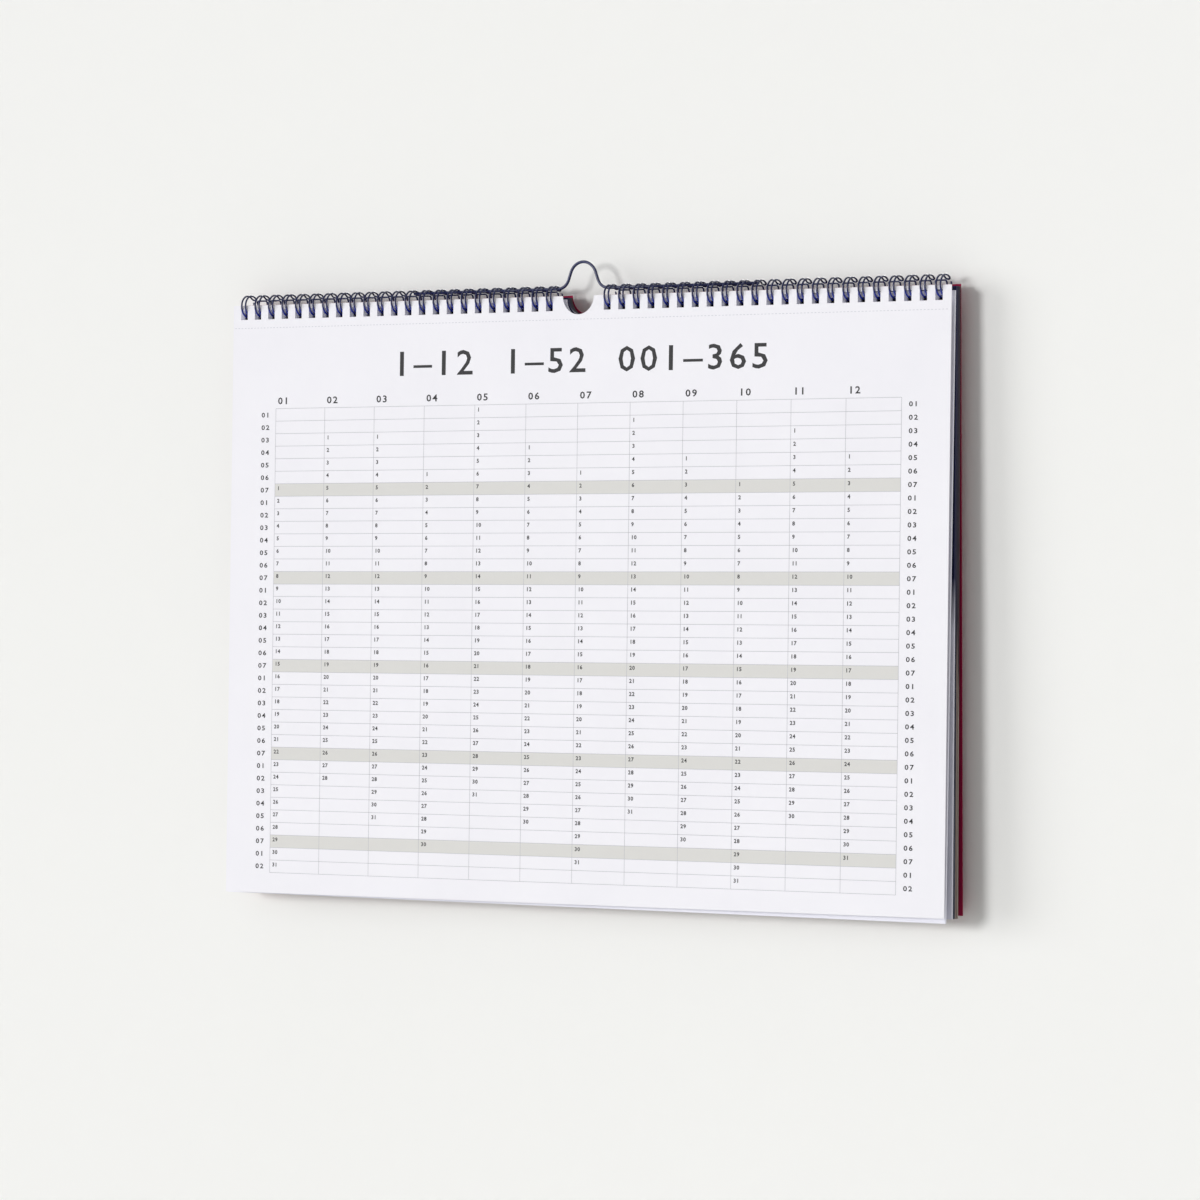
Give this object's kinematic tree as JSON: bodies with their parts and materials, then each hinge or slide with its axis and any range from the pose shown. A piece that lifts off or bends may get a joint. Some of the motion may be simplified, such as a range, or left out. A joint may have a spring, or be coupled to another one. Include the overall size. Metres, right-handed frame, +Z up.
{
  "type": "wire-bound wall calendar",
  "caption": "Landscape wall calendar with a year table on its top sheet, bound by twin-loop wire and hung from a bent wire hanger.",
  "frame": {"origin": "underside of the hanger hook's top, where it rests on the wall screw", "axes": "+X to the right along the binding, -Y out of the wall towards the viewer, +Z up"},
  "size_m": [0.4215, 0.0177, 0.3171],
  "materials": {
    "hanger_wire": "satin dark navy, nearly black",
    "binding_wire": "satin dark navy, nearly black",
    "white_paper": "matt uncoated",
    "white_lined_board": "matt",
    "printed_paper": "silk",
    "dark_red_card": "silk"
  },
  "bodies": {
    "hanger": {"hanger": "hanger_wire"},
    "binding": {"wire_comb_left": "binding_wire", "wire_comb_right": "binding_wire"},
    "board": {"backing_board": "white_lined_board"},
    "planner": {"planner_sheet": "white_paper"},
    "pages": {"month_pages": "printed_paper"},
    "cover": {"cover_sheet": "dark_red_card"}
  },
  "joints": [
    {"name": "hanger_swing", "type": "hinge", "parent": "hanger", "child": "binding", "pos_m": [0, 0, -0.01225], "axis": [-1, 0, 0], "range_deg": [-20, 45]},
    {"name": "board_turn", "type": "hinge", "parent": "binding", "child": "board", "pos_m": [0, 0, -0.01625], "axis": [-1, 0, 0], "range_deg": [0, 20]},
    {"name": "planner_turn", "type": "hinge", "parent": "board", "child": "planner", "pos_m": [0, 0, -0.01625], "axis": [-1, 0, 0], "range_deg": [0, 35]},
    {"name": "pages_turn", "type": "hinge", "parent": "binding", "child": "pages", "pos_m": [0, 0, -0.01625], "axis": [1, 0, 0], "range_deg": [0, 25]},
    {"name": "cover_turn", "type": "hinge", "parent": "pages", "child": "cover", "pos_m": [0, 0, -0.01625], "axis": [1, 0, 0], "range_deg": [0, 25]}
  ]
}
